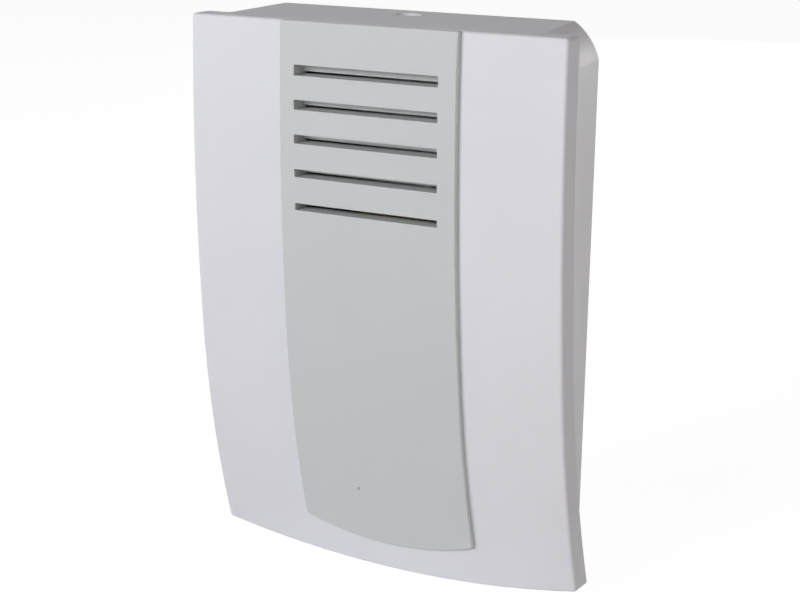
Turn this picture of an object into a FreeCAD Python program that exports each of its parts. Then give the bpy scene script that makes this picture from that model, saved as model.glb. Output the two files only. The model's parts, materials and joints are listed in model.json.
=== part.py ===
"""Two-tone door chime: a wall-mounted doorbell with a pull-off cover.

Millimetres. X points right as seen from the front, Y points into the wall and Z points up.
The wall is the plane y = 0. Distances in front of the wall are called out, so y = -out.
The origin is on the back face of the base plate, at the middle of the cover's height.
"""
import FreeCAD, Part
import math
import os

V = FreeCAD.Vector

# Shared clearances: between pieces that touch, between pressed pieces, and how far a cut runs past a face
fit_gap = 0.05
press_gap = 0.02
over = 1.0

# Cover: the front plate with its rim
cover_width = 130.0
cover_height = 178.8
bottom_bow = 7.0
plate_corner_radius = 1.2
cover_wall = 2.4
rim_depth = 7.6
cover_edge_rounding = 1.0
front_depth_at_top = 32.5
front_lean_deg = 2.4
upper_arc_radius = 815.0
upper_arc_length = 102.0
lower_arc_radius = 322.0
lower_arc_length = 82.0

# Cover: the body behind the rim, a little narrower at its lower end, with flattened round corners
body_side_inset_high = 5.3
body_side_inset_low = 7.4
body_bottom_inset = 3.4
body_top_rise = 1.2
body_corner_run = 8.2
body_corner_drop = 11.0
body_corner_bulge = 1.2
body_corner_shrink = 0.6
body_lead = 2.0
body_front_corner_radius = 10.0
cover_travel = 60.0

# Grey front panel and its sound slots
panel_width = 61.8
panel_proud = 1.7
panel_bottom_margin = 8.9
panel_bow = 5.4
panel_corner_radius = 1.2
panel_top_corner_radius = 0.3
panel_edge_rounding = 0.5
panel_seat_gap = 0.05
slot_count = 5
slot_margin_left = 5.3
slot_margin_right = 6.3
slot_pitch = 10.69
first_slot_drop = 13.3
first_slot_height = 3.3
slot_height_step = 0.27
slot_depth = 5.4
slit_height = 0.8
collar_wall = 1.2
window_clearance = 0.5
dimple_radius = 0.6
dimple_depth = 0.4
dimple_offset = -8.4
dimple_rise = 13.7
panel_peg_radius = 1.4
panel_peg_inset = 4.5
panel_peg_drop = 8.0
panel_peg_rise = 14.0
panel_peg_tail = 1.8
panel_clip_radius = 3.2
panel_clip_thickness = 0.7

# Base plate
base_thickness = 2.5
base_clearance = 0.35
base_lip_height = 1.5
base_lip_width = 1.5
wall_slot_spacing = 68.0
wall_slot_rise = 11.75
wall_slot_length = 8.0
wall_hole_radius = 1.85
keyhole_head_radius = 3.75
keyhole_drop = 25.55
keyhole_throw = 4.0
spigot_radius = 1.5
spigot_depth = 1.6

# Cover latch
latch_nose_offset = -0.7
latch_nose_out = 8.2
latch_nose_half_width = 3.6
latch_nose_half_depth = 2.4
latch_nose_entry = 0.8
latch_window_clearance = 0.6
latch_arm_length = 21.8
latch_arm_tail = 6.0
latch_arm_width = 8.0
latch_arm_thickness = 1.6
latch_arm_clearance = 2.6
latch_root_radius = 1.6
latch_socket_clearance = 0.15
latch_socket_wall = 2.6
latch_socket_cap = 0.9
latch_socket_wrap = 0.5
latch_groove_gap = 0.35
latch_swing_deg = 4.0

# Solenoid
solenoid_drop = 67.85
solenoid_seat = 1.5
yoke_thickness = 1.5
yoke_width = 20.0
yoke_lug_reach = 9.0
yoke_lug_width = 14.0
yoke_bend_radius = 1.5
yoke_ear_reach = 20.0
yoke_hole_clearance = 0.6
yoke_screw_spacing = 29.0
yoke_boss_radius = 4.6
bobbin_length = 34.0
bobbin_flange = 19.4
bobbin_flange_thickness = 1.4
bobbin_corner_radius = 2.0
bobbin_tube_wall = 1.0
bobbin_yoke_gap = 0.3
bobbin_end_gap = 0.05
winding_thickness = 3.3
winding_end_gap = 0.1
tape_thickness = 0.2
tape_margin = 2.6
coil_pin_radius = 0.5
coil_pin_depth = 3.0
coil_pin_reach = 4.6
coil_pin_out = 9.0

# Plunger with its strikers and spring
plunger_radius = 4.3
plunger_clearance = 0.3
plunger_length = 36.0
striker_stem_radius = 2.4
striker_head_radius = 3.2
striker_head_length = 4.0
striker_dome_rounding = 1.2
striker_spigot_radius = 1.6
striker_spigot_length = 5.0
spring_cap_radius = 6.8
spring_cap_thickness = 1.2
spring_radius = 5.5
spring_wire = 0.6
spring_turns = 7
spring_end_gap = 0.05
spring_end_bend = 1.2
strike_gap_left = 3.0
strike_gap_right = 6.0
strike_clearance = 0.2

# Tone plates and their mountings
tone_plate_thickness = 2.0
tone_plate_width = 16.0
tone_plate_low_length = 118.0
tone_plate_high_length = 96.0
tone_plate_rounding = 2.0
nodal_share = 0.224
plate_hole_radius = 2.6
grommet_flange_radius = 4.0
grommet_flange_thickness = 1.2
plate_pin_radius = 1.5
plate_pin_grip = 3.6
retainer_radius = 2.8
retainer_thickness = 0.6
post_edge_gap = 1.8
post_thickness = 4.6
post_width = 7.0
post_cap = 4.5
post_rounding = 1.2

# Terminal block, cable entry and cable clamp
terminal_rise = 22.4
terminal_seat = 1.5
terminal_count = 3
terminal_pitch = 9.5
terminal_body_height = 12.0
terminal_body_depth = 10.5
terminal_lug = 7.0
terminal_lug_depth = 4.0
terminal_lug_height = 8.4
terminal_lug_rounding = 2.1
terminal_rounding = 0.8
terminal_groove = 1.0
terminal_tunnel_width = 5.0
terminal_tunnel_depth = 5.0
terminal_tunnel_floor = 1.6
terminal_clamp_gap = 0.15
terminal_clamp_inset = 2.0
terminal_clamp_floor = 0.7
terminal_wire_radius = 1.3
terminal_screw_radius = 1.4
terminal_well_radius = 2.1
terminal_screw_head_radius = 1.9
terminal_screw_head_height = 1.6
terminal_screw_raise = 0.6
cable_entry_radius = 3.5
cable_entry_lift = 13.0
grommet_neck_wall = 2.4
grommet_flange_reach = 2.1
cable_grommet_flange = 1.6
cable_grommet_rounding = 0.7
grommet_base_gap = 0.1
clamp_lift = 16.5
clamp_seat = 1.5
clamp_screw_spacing = 16.0
clamp_boss_radius = 3.4
clamp_foot_thickness = 1.8
clamp_foot_rounding = 3.0
clamp_width = 6.8
clamp_throat_height = 6.4
clamp_throat_clearance = 0.4
clamp_leg_thickness = 1.2
clamp_crown_thickness = 1.8
clamp_crown_rounding = 1.0
clamp_rib_height = 0.8
clamp_rib_width = 1.0

# Screws: pan heads with a cross recess
screw_radius = 1.3
screw_head_radius = 2.7
screw_head_height = 1.8
screw_head_rounding = 0.8
screw_length = 5.0
pilot_floor = 0.5
recess_width = 0.8
recess_reach = 1.7
recess_depth = 0.9

# Leads from the coil to the terminals
lead_radius = 0.75
lead_arc_share = 0.45
lead_side_gap = 1.5
lead_rise_over_clamp = 0.6

# Derived places
half_width = cover_width / 2
cover_top = cover_height / 2
plate_corner_z = -cover_height / 2 + bottom_bow
margin = 20.0
body_top = cover_top + body_top_rise
body_bottom = plate_corner_z + body_bottom_inset
body_half_low = half_width - body_side_inset_low
body_half_high = half_width - body_side_inset_high
base_half_low = body_half_low - cover_wall - base_clearance
base_half_high = body_half_high - cover_wall - base_clearance
base_top = body_top - cover_wall - base_clearance
base_bottom = body_bottom + cover_wall + base_clearance
terminal_z = plate_corner_z + terminal_rise
clamp_z = terminal_z + clamp_lift
cable_entry_z = clamp_z + cable_entry_lift
solenoid_z = base_top - solenoid_drop
solenoid_out = (base_thickness + solenoid_seat + yoke_thickness + bobbin_yoke_gap
                + bobbin_flange / 2)
ear_inner = bobbin_length / 2 + bobbin_end_gap
ear_outer = ear_inner + yoke_thickness
bobbin_bore = plunger_radius + plunger_clearance
post_face = base_half_low - post_edge_gap - post_thickness
post_middle = post_face + post_thickness / 2
tone_face = post_face - 4 * fit_gap - grommet_flange_thickness - tone_plate_thickness
striker_left = -tone_face + strike_gap_left
striker_right = tone_face - strike_gap_right
terminal_out = base_thickness + terminal_seat

# Front profile: two tangent arcs running down from the top, then a straight run
lean = -math.radians(front_lean_deg)
upper_end = lean + upper_arc_length / upper_arc_radius
lower_end = upper_end + lower_arc_length / lower_arc_radius


def along(angle):
    """Direction of travel down the profile, as (out, z)."""
    return (-math.sin(angle), -math.cos(angle))


def forward(angle):
    """Direction square to the profile, away from the wall, as (out, z)."""
    return (math.cos(angle), -math.sin(angle))


def shift(point, direction, distance):
    return (point[0] + direction[0] * distance, point[1] + direction[1] * distance)


top_point = (front_depth_at_top, cover_top)
upper_centre = shift(top_point, forward(lean), -upper_arc_radius)
upper_joint = shift(upper_centre, forward(upper_end), upper_arc_radius)
lower_centre = shift(upper_joint, forward(upper_end), -lower_arc_radius)


def place(x, out, z):
    return V(x, -out, z)


def depth_at(z, offset=0.0):
    """How far the front stands out at height z, on the profile shifted by offset."""
    if z > shift(upper_centre, forward(upper_end), upper_arc_radius + offset)[1]:
        radius = upper_arc_radius + offset
        return upper_centre[0] + math.sqrt(radius ** 2 - (z - upper_centre[1]) ** 2)
    joint = shift(lower_centre, forward(lower_end), lower_arc_radius + offset)
    if z > joint[1]:
        radius = lower_arc_radius + offset
        return lower_centre[0] + math.sqrt(radius ** 2 - (z - lower_centre[1]) ** 2)
    return joint[0] - math.tan(lower_end) * (joint[1] - z)


def front_block(offset):
    """Everything from behind the wall plane to the front profile shifted by offset."""
    x = -half_width - margin

    def at(point):
        return place(x, point[0], point[1])

    start = shift(top_point, forward(lean), offset)
    above = shift(start, along(lean), -margin)
    upper_mid = shift(upper_centre, forward((lean + upper_end) / 2), upper_arc_radius + offset)
    joint = shift(upper_centre, forward(upper_end), upper_arc_radius + offset)
    lower_mid = shift(lower_centre, forward((upper_end + lower_end) / 2), lower_arc_radius + offset)
    end = shift(lower_centre, forward(lower_end), lower_arc_radius + offset)
    below = shift(end, along(lower_end), cover_height / 2)
    behind_top = (-margin, above[1])
    behind_bottom = (-margin, below[1])
    wire = Part.Wire([
        Part.LineSegment(at(above), at(start)).toShape(),
        Part.Arc(at(start), at(upper_mid), at(joint)).toShape(),
        Part.Arc(at(joint), at(lower_mid), at(end)).toShape(),
        Part.LineSegment(at(end), at(below)).toShape(),
        Part.LineSegment(at(below), at(behind_bottom)).toShape(),
        Part.LineSegment(at(behind_bottom), at(behind_top)).toShape(),
        Part.LineSegment(at(behind_top), at(above)).toShape(),
    ])
    return Part.Face(wire).extrude(V(2 * (half_width + margin), 0, 0))


def box(x0, x1, out0, out1, z0, z1):
    return Part.makeBox(x1 - x0, out1 - out0, z1 - z0, V(x0, -out1, z0))


def rod_out(x, z, radius, out0, out1):
    """Cylinder that points away from the wall."""
    return Part.makeCylinder(radius, out1 - out0, place(x, out0, z), V(0, -1, 0))


def rod_x(x0, x1, out, z, radius):
    return Part.makeCylinder(radius, x1 - x0, place(x0, out, z), V(1, 0, 0))


def rod_z(x, out, z0, z1, radius):
    return Part.makeCylinder(radius, z1 - z0, place(x, out, z0), V(0, 0, 1))


def corner_outline(half_low, half_high, z0, z1, run, drop, bulge, out):
    """Upright outline at distance out. Its sides may lean, and each corner is an arc of this bulge."""
    chord = math.hypot(run, drop)
    across = run / 2 - bulge * drop / chord
    upwards = drop / 2 - bulge * run / chord
    corners = [(-half_low, z0, 1, 1), (half_low, z0, -1, 1),
               (half_high, z1, -1, -1), (-half_high, z1, 1, -1)]
    edges = []
    ends = []
    for number, (x, z, sx, sz) in enumerate(corners):
        beside = place(x, out, z + sz * drop)
        under = place(x + sx * run, out, z)
        middle = place(x + sx * across, out, z + sz * upwards)
        first, last = (beside, under) if number % 2 == 0 else (under, beside)
        edges.append(Part.Arc(first, middle, last).toShape())
        ends.append((first, last))
    joined = []
    for number, edge in enumerate(edges):
        joined.append(edge)
        following = ends[(number + 1) % len(ends)][0]
        joined.append(Part.LineSegment(ends[number][1], following).toShape())
    return Part.Wire(joined)


def bowed_prism(half, top, corner_z, bow, top_radius, low_radius, out0, out1):
    """Plate outline with straight sides and a bowed lower edge, from out0 to out1."""
    left_top = place(-half, out0, top)
    right_top = place(half, out0, top)
    left_low = place(-half, out0, corner_z)
    right_low = place(half, out0, corner_z)
    lowest = place(0, out0, corner_z - bow)
    wire = Part.Wire([
        Part.LineSegment(left_top, right_top).toShape(),
        Part.LineSegment(right_top, right_low).toShape(),
        Part.Arc(right_low, lowest, left_low).toShape(),
        Part.LineSegment(left_low, left_top).toShape(),
    ])
    prism = Part.Face(wire).extrude(V(0, out0 - out1, 0))
    corners = [edge for edge in prism.Edges if is_along_y(edge)]
    upper = [edge for edge in corners if edge.BoundBox.ZMin > corner_z + over]
    prism = prism.makeFillet(top_radius, upper)
    lower = [edge for edge in prism.Edges if is_along_y(edge) and edge.BoundBox.ZMax < corner_z + over]
    return prism.makeFillet(low_radius, lower)


def is_along_y(edge):
    first = edge.Vertexes[0].Point
    last = edge.Vertexes[-1].Point
    span = last.sub(first)
    return abs(span.y) > 0.99 * span.Length and span.Length > 0


def edges_at_out(solid, out):
    """Edges that lie flat at distance out."""
    return [edge for edge in solid.Edges
            if abs(edge.BoundBox.YMin + out) < 0.001 and edge.BoundBox.YLength < 0.001]


def round_front_edges(solid, offset, radius):
    """Round the edges that lie on the front profile shifted by offset."""
    chosen = []
    for edge in solid.Edges:
        middle = edge.valueAt((edge.FirstParameter + edge.LastParameter) / 2)
        if abs(-middle.y - depth_at(middle.z, offset)) < 0.01:
            chosen.append(edge)
    return solid.makeFillet(radius, chosen)


def body_corner(inset):
    """Run, drop and bulge of the body's rear corners, for an outline that lies this far inside."""
    shrink = body_corner_shrink * inset
    return body_corner_run - shrink, body_corner_drop - shrink, body_corner_bulge


def body_loft(inset):
    """The cover's drafted body, from behind the wall plane to the depth of the front."""
    reach = front_depth_at_top
    lead = body_lead / reach
    rear = corner_outline(body_half_low - inset - body_side_inset_low * lead,
                          body_half_high - inset - body_side_inset_high * lead,
                          body_bottom + inset + body_bottom_inset * lead,
                          body_top - inset + body_top_rise * lead,
                          *body_corner(inset), -body_lead)
    radius = body_front_corner_radius - inset
    bulge = radius * (1 - math.sqrt(0.5))
    front = corner_outline(half_width - inset, half_width - inset, plate_corner_z + inset,
                           cover_top - inset, radius, radius, bulge, reach)
    return Part.makeLoft([rear, front], True, True)


def body_inner_top(out):
    """Height of the inside of the cover's top wall at distance out."""
    return body_top - body_top_rise * out / front_depth_at_top - cover_wall


def single(shape):
    """The shape's one solid, with split faces joined."""
    cleaned = shape.removeSplitter()
    return cleaned.Solids[0] if len(cleaned.Solids) == 1 else cleaned


def save(name, *shapes):
    """Write one node; several shapes become separate solids of it."""
    solids = [solid for shape in shapes for solid in shape.Solids]
    part = solids[0] if len(solids) == 1 else Part.makeCompound(solids)
    valid = all(solid.isValid() for solid in solids)
    part.exportStep("parts/" + name + ".step")
    print(name, len(solids), "solids", round(sum(s.Volume for s in solids), 1), "mm3", valid)


def screw(x, z, seat):
    """Pan-head screw whose head sits on the plane at distance seat."""
    top = seat + screw_head_height
    head = rod_out(x, z, screw_head_radius, seat, top)
    top_edge = edges_at_out(head, top)
    head = head.makeFillet(screw_head_rounding, top_edge)
    body = head.fuse(rod_out(x, z, screw_radius, seat - screw_length, seat))
    floor = top - recess_depth
    half = recess_width / 2
    body = body.cut(box(x - recess_reach, x + recess_reach, floor, top + over, z - half, z + half))
    body = body.cut(box(x - half, x + half, floor, top + over, z - recess_reach, z + recess_reach))
    return single(body)


# Latch places, shared by the latch, its socket and the cover's window
latch_x = latch_nose_offset
latch_root_x = latch_x - latch_arm_length
latch_arm_top = body_inner_top(latch_nose_out) - latch_arm_clearance
latch_root_z = latch_arm_top - latch_arm_thickness / 2
latch_nose_top = body_inner_top(latch_nose_out) + latch_nose_entry
latch_out0 = latch_nose_out - latch_arm_width / 2
latch_out1 = latch_nose_out + latch_arm_width / 2

# Slot places, counted from the top
slot_top_z = [cover_top - first_slot_drop - slot_pitch * n for n in range(slot_count)]
slot_heights = [first_slot_height - slot_height_step * n for n in range(slot_count)]
slot_bottom_z = [top - height for top, height in zip(slot_top_z, slot_heights)]
slot_x0 = -panel_width / 2 + slot_margin_left
slot_x1 = panel_width / 2 - slot_margin_right
slot_floor = min(depth_at(slot_top_z[0]), depth_at(slot_bottom_z[-1])) + panel_proud - slot_depth

# Panel pegs, as (x, z)
panel_half = panel_width / 2
panel_corner_z = plate_corner_z + panel_bottom_margin
peg_x = panel_half - panel_peg_inset
panel_pegs = [(side * peg_x, z) for z in (cover_top - panel_peg_drop, panel_corner_z + panel_peg_rise)
              for side in (-1, 1)]

# Screw places, as (x, z)
yoke_screws = [(0, solenoid_z + side * yoke_screw_spacing / 2) for side in (-1, 1)]
clamp_screws = [(side * clamp_screw_spacing / 2, clamp_z) for side in (-1, 1)]
terminal_half = terminal_count * terminal_pitch / 2
terminal_fixings = [(side * (terminal_half + terminal_lug / 2), terminal_z) for side in (-1, 1)]
terminal_x = [(n - (terminal_count - 1) / 2) * terminal_pitch for n in range(terminal_count)]


def nodal_heights(length):
    """Heights of the two points of a free bar that stay still when it rings."""
    reach = length * (0.5 - nodal_share)
    return (solenoid_z - reach, solenoid_z + reach)


# One tone plate on each side: the long, low one on the left and the short, high one on the right
tone_plates = [(-1, tone_plate_low_length, "tone_plate_low"),
               (1, tone_plate_high_length, "tone_plate_high")]
mount_points = [(side, z) for side, length, name in tone_plates for z in nodal_heights(length)]


def between_x(side, near, far):
    """Sorted X range that starts near the middle, on the given side."""
    return (min(side * near, side * far), max(side * near, side * far))


def cover_moulding():
    """The whole cover: its front plate with the rim, and the drafted body behind it."""
    plate = front_block(0).common(bowed_prism(
        half_width, cover_top, plate_corner_z, bottom_bow, plate_corner_radius, plate_corner_radius,
        -margin, front_depth_at_top + margin))
    plate = round_front_edges(plate, 0, cover_edge_rounding)
    plate = plate.cut(front_block(-rim_depth))
    inside = front_block(-cover_wall).common(bowed_prism(
        half_width - cover_wall, cover_top - cover_wall, plate_corner_z + cover_wall, bottom_bow,
        plate_corner_radius, plate_corner_radius, -margin, front_depth_at_top + margin))
    plate = plate.cut(inside)
    behind_front = front_block(-cover_wall / 2)
    wall_plane = box(-half_width, half_width, 0, front_depth_at_top + margin,
                     -cover_height, cover_height)
    body = body_loft(0).common(behind_front).common(wall_plane)
    cavity = body_loft(cover_wall).common(front_block(-cover_wall))
    shell = plate.fuse(body).cut(cavity)

    window = box(slot_x0 - collar_wall - window_clearance, slot_x1 + collar_wall + window_clearance,
                 slot_floor, front_depth_at_top + margin,
                 slot_bottom_z[-1] - collar_wall - window_clearance,
                 slot_top_z[0] + collar_wall + window_clearance)
    shell = shell.cut(window)
    for x, z in panel_pegs:
        hole = rod_out(x, z, panel_peg_radius + 3 * fit_gap, depth_at(z) - 3 * cover_wall,
                       depth_at(z) + margin)
        shell = shell.cut(hole)

    nose_window = ellipse_post(latch_nose_half_width + latch_window_clearance,
                               latch_nose_half_depth + latch_window_clearance,
                               latch_root_z, body_top + margin)
    groove = box(latch_x - latch_nose_half_width - latch_window_clearance,
                 latch_x + latch_nose_half_width + latch_window_clearance,
                 -over, latch_nose_out, latch_root_z, latch_nose_top + latch_groove_gap)
    return shell.cut(nose_window).cut(groove)


def make_cover_shell(whole):
    """The front plate with its rim."""
    return single(whole.cut(front_block(-rim_depth)))


def make_cover_skirt(whole):
    """The body behind the rim, which fits round the base plate."""
    return single(whole.common(front_block(-rim_depth - press_gap)))


def ellipse_post(half_x, half_depth, z0, z1):
    """Upright elliptical post at the latch nose."""
    centre = place(latch_x, latch_nose_out, z0)
    curve = Part.Ellipse(place(latch_x + half_x, latch_nose_out, z0),
                         place(latch_x, latch_nose_out - half_depth, z0), centre)
    return Part.Face(Part.Wire(curve.toShape())).extrude(V(0, 0, z1 - z0))


def make_front_panel():
    outline = bowed_prism(panel_half, cover_top, panel_corner_z, panel_bow, panel_top_corner_radius,
                          panel_corner_radius, 0, front_depth_at_top + margin)
    panel = front_block(panel_proud).common(outline)
    panel = round_front_edges(panel, panel_proud, panel_edge_rounding)
    panel = panel.cut(front_block(panel_seat_gap))
    for top, bottom in zip(slot_top_z, slot_bottom_z):
        collar = box(slot_x0 - collar_wall, slot_x1 + collar_wall, slot_floor - collar_wall,
                     front_depth_at_top + margin, bottom - collar_wall, top + collar_wall)
        panel = panel.fuse(collar.common(front_block(panel_proud / 2)))
    for top, bottom in zip(slot_top_z, slot_bottom_z):
        panel = panel.cut(box(slot_x0, slot_x1, slot_floor, front_depth_at_top + margin,
                              bottom, top))
        panel = panel.cut(box(slot_x0, slot_x1, slot_floor - 2 * collar_wall,
                              slot_floor + over, bottom, bottom + slit_height))
    for x, z in panel_pegs:
        tail = depth_at(z, -cover_wall) - panel_peg_tail
        panel = panel.fuse(rod_out(x, z, panel_peg_radius, tail, depth_at(z) + panel_proud / 2))
    dimple_z = panel_corner_z + dimple_rise
    dimple_front = depth_at(dimple_z, panel_proud)
    panel = panel.cut(rod_out(dimple_offset, dimple_z, dimple_radius,
                              dimple_front - dimple_depth, dimple_front + over))
    return single(panel)


def make_panel_clips():
    clips = []
    for x, z in panel_pegs:
        seat = min(depth_at(z + side * panel_clip_radius, -cover_wall) for side in (-1, 1)) - fit_gap
        disc = rod_out(x, z, panel_clip_radius, seat - panel_clip_thickness, seat)
        clips.append(disc.cut(rod_out(x, z, panel_peg_radius + fit_gap, 0, seat + over)))
    return clips


def base_outline(inset, out):
    """Outline of the base plate, or one that lies this far inside it."""
    return corner_outline(base_half_low - inset, base_half_high - inset, base_bottom + inset,
                          base_top - inset, *body_corner(cover_wall + base_clearance + inset), out)


def make_base_plate():
    plate = Part.Face(base_outline(0, 0)).extrude(V(0, -base_thickness - base_lip_height, 0))
    inner = base_outline(base_lip_width, base_thickness)
    plate = plate.cut(Part.Face(inner).extrude(V(0, -base_lip_height - over, 0)))

    for x, z in yoke_screws:
        plate = plate.fuse(rod_out(x, z, yoke_boss_radius, 0, base_thickness + solenoid_seat))
    for x, z in terminal_fixings:
        plate = plate.fuse(rod_out(x, z, terminal_lug / 2, 0, terminal_out))
    for x, z in clamp_screws:
        plate = plate.fuse(rod_out(x, z, clamp_boss_radius, 0, base_thickness + clamp_seat))

    for x, z in yoke_screws:
        plate = plate.cut(pilot_hole(x, z, base_thickness + solenoid_seat))
    for x, z in terminal_fixings:
        plate = plate.cut(pilot_hole(x, z, terminal_out))
    for x, z in clamp_screws:
        plate = plate.cut(pilot_hole(x, z, base_thickness + clamp_seat))
    for side, z in mount_points:
        plate = plate.cut(spigot(side * post_middle, z, fit_gap))
    x0, x1, z0, z1 = latch_bracket_outline()
    plate = plate.cut(spigot((x0 + x1) / 2, (z0 + z1) / 2, fit_gap))
    plate = plate.cut(box(x0 - fit_gap, x1 + fit_gap, base_thickness, latch_out1,
                          z0 - fit_gap, z1 + fit_gap))

    plate = plate.cut(rod_out(0, cable_entry_z, grommet_neck_radius() + fit_gap,
                              -over, base_thickness + over))
    for side in (-1, 1):
        plate = plate.cut(wall_slot(side * wall_slot_spacing / 2, base_bottom + wall_slot_rise))
    head_z = base_top - keyhole_drop
    plate = plate.cut(rod_out(0, head_z, keyhole_head_radius, -over, base_thickness + over))
    plate = plate.cut(rod_out(0, head_z + keyhole_throw, wall_hole_radius, -over, base_thickness + over))
    plate = plate.cut(box(-wall_hole_radius, wall_hole_radius, -over, base_thickness + over,
                          head_z, head_z + keyhole_throw))
    return single(plate)


def wall_slot(x, z):
    reach = wall_slot_length / 2 - wall_hole_radius
    slot = box(x - reach, x + reach, -over, base_thickness + over,
               z - wall_hole_radius, z + wall_hole_radius)
    for side in (-1, 1):
        slot = slot.fuse(rod_out(x + side * reach, z, wall_hole_radius, -over, base_thickness + over))
    return slot


def pilot_hole(x, z, seat):
    """Blind hole for a screw that comes from the front."""
    floor = max(seat - screw_length, pilot_floor)
    return rod_out(x, z, screw_radius + fit_gap, floor, seat + over)


def spigot(x, z, gap):
    """Round foot that sits in the base plate, or its hole when a gap is given."""
    return rod_out(x, z, spigot_radius + gap, base_thickness - spigot_depth - gap,
                   base_thickness + (over if gap else 0))


def make_plate_post(side, z):
    """Post that carries one end of a tone plate on a pin."""
    x0, x1 = between_x(side, post_face, post_face + post_thickness)
    height = tone_plate_out() + post_cap
    post = box(x0, x1, base_thickness, height, z - post_width / 2, z + post_width / 2)
    post = post.makeFillet(post_rounding, edges_at_out(post, height))
    post = post.fuse(spigot(side * post_middle, z, 0))
    x0, x1 = between_x(side, post_face - over, post_face + plate_pin_grip)
    return single(post.cut(rod_x(x0, x1, tone_plate_out(), z, plate_pin_radius + fit_gap)))


def latch_bracket_outline():
    """Lowest and highest x, then lowest and highest z, of the latch's bracket."""
    radius = latch_root_radius + latch_socket_clearance
    return (latch_root_x - radius - latch_socket_wall, latch_root_x + latch_socket_wrap,
            latch_root_z - radius - latch_socket_wall, latch_root_z + radius + latch_socket_cap)


def make_latch_bracket():
    """Block on the base plate whose round bore is open towards the latch arm."""
    x0, x1, z0, z1 = latch_bracket_outline()
    radius = latch_root_radius + latch_socket_clearance
    block = box(x0, x1, base_thickness, latch_out1, z0, z1)
    block = block.fuse(spigot((x0 + x1) / 2, (z0 + z1) / 2, 0))
    return single(block.cut(rod_out(latch_root_x, latch_root_z, radius,
                                    latch_out0 - latch_socket_clearance, latch_out1 + over)))


def make_cover_latch():
    root = rod_out(latch_root_x, latch_root_z, latch_root_radius, latch_out0, latch_out1)
    arm = box(latch_root_x, latch_x + latch_arm_tail, latch_out0, latch_out1,
              latch_arm_top - latch_arm_thickness, latch_arm_top)
    nose = ellipse_post(latch_nose_half_width, latch_nose_half_depth, latch_root_z, latch_nose_top)
    top_edge = [e for e in nose.Edges if abs(e.BoundBox.ZMin - latch_nose_top) < 0.001]
    nose = nose.makeFillet(latch_nose_entry / 2, top_edge)
    return single(root.fuse(arm).fuse(nose))


def make_yoke():
    z0 = solenoid_z - yoke_width / 2
    z1 = solenoid_z + yoke_width / 2
    seat = base_thickness + solenoid_seat
    outer = box(-ear_outer, ear_outer, seat, seat + yoke_thickness + yoke_ear_reach, z0, z1)
    bends = [edge for edge in edges_at_out(outer, seat) if edge.BoundBox.XLength < 0.001]
    outer = outer.makeFillet(yoke_bend_radius, bends)
    inner = box(-ear_inner, ear_inner, seat + yoke_thickness, seat + 3 * yoke_ear_reach,
                z0 - over, z1 + over)
    yoke = outer.cut(inner)
    lug = box(-yoke_lug_width / 2, yoke_lug_width / 2, seat, seat + yoke_thickness,
              z0 - yoke_lug_reach, z1 + yoke_lug_reach)
    corners = [e for e in lug.Edges if is_along_y(e)]
    yoke = yoke.fuse(lug.makeFillet(yoke_bend_radius, corners))
    hole = plunger_radius + yoke_hole_clearance
    yoke = yoke.cut(rod_x(-2 * ear_outer, 2 * ear_outer, solenoid_out, solenoid_z, hole))
    for x, z in yoke_screws:
        yoke = yoke.cut(rod_out(x, z, screw_radius + 2 * fit_gap, 0, seat + 2 * yoke_thickness))
    return single(yoke)


def make_bobbin():
    half = bobbin_length / 2
    size = bobbin_flange / 2
    bobbin = rod_x(-half, half, solenoid_out, solenoid_z, bobbin_bore + bobbin_tube_wall)
    for side in (-1, 1):
        x0, x1 = between_x(side, half - bobbin_flange_thickness, half)
        flange = box(x0, x1, solenoid_out - size, solenoid_out + size,
                     solenoid_z - size, solenoid_z + size)
        corners = [e for e in flange.Edges if e.BoundBox.XLength > 0.9 * bobbin_flange_thickness]
        bobbin = bobbin.fuse(flange.makeFillet(bobbin_corner_radius, corners))
    bobbin = bobbin.cut(rod_x(-half - over, half + over, solenoid_out, solenoid_z, bobbin_bore))
    for x, z in coil_pin_ends():
        bobbin = bobbin.cut(rod_z(x, coil_pin_out, z - over, coil_pin_top(), coil_pin_radius + press_gap))
    return single(bobbin)


def coil_pin_top():
    return solenoid_z - bobbin_flange / 2 + coil_pin_depth


def coil_pin_ends():
    """Lower ends of the two solder pins, as (x, z)."""
    x = bobbin_length / 2 - bobbin_flange_thickness / 2
    z = solenoid_z - bobbin_flange / 2 - coil_pin_reach
    return [(-x, z), (x, z)]


def make_ring_x(inner, outer, half):
    ring = rod_x(-half, half, solenoid_out, solenoid_z, outer)
    return ring.cut(rod_x(-half - over, half + over, solenoid_out, solenoid_z, inner))


winding_inner = bobbin_bore + bobbin_tube_wall + fit_gap
winding_outer = winding_inner + winding_thickness
winding_half = bobbin_length / 2 - bobbin_flange_thickness - winding_end_gap


def make_plunger_core():
    left = striker_left + striker_stem_left_length()
    core = rod_x(left, left + plunger_length, solenoid_out, solenoid_z, plunger_radius)
    for x0, x1 in ((left - over, left + striker_spigot_length + fit_gap),
                   (left + plunger_length - striker_spigot_length - fit_gap,
                    left + plunger_length + over)):
        core = core.cut(rod_x(x0, x1, solenoid_out, solenoid_z, striker_spigot_radius + fit_gap))
    return single(core)


def striker_stem_left_length():
    """Length of the left striker in front of the core, with the core set for its stroke."""
    travel = strike_gap_left + strike_gap_right
    core_left = -ear_outer - travel / 2
    return core_left - striker_left


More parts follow.
